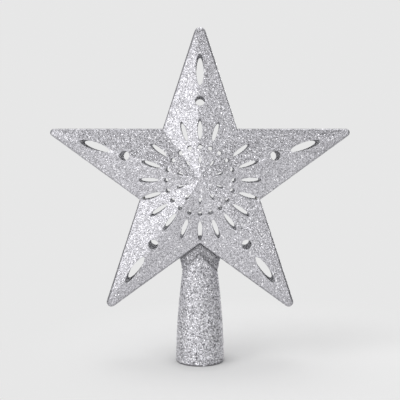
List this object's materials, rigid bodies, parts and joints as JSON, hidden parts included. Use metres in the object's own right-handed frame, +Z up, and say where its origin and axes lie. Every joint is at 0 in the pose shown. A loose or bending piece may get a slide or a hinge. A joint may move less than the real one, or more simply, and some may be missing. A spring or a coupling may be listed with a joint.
{
  "type": "tree topper star",
  "caption": "Hollow faceted star with a glitter finish, pierced in rings of leaf-shaped and round holes, on a tapered socket that slips over the tip of a tree.",
  "frame": {"origin": "centre of the socket's mouth, on the level it stands on", "axes": "+Z up from the mouth to the top point of the star, +X to the right seen from the front, -Y towards a viewer in front"},
  "size_m": [0.213, 0.042, 0.238],
  "materials": {
    "glitter_silver": "silver glitter coat over a moulded plastic shell",
    "plain_plastic": "plain grey moulded plastic, hidden inside",
    "clear_cement": "dried clear cement"
  },
  "bodies": {
    "root": {"front_shell": "glitter_silver", "rear_shell": "glitter_silver", "tree_socket": "glitter_silver", "neck_key": "plain_plastic", "locating_pegs": "plain_plastic", "seam_cement": "clear_cement"}
  },
  "joints": []
}
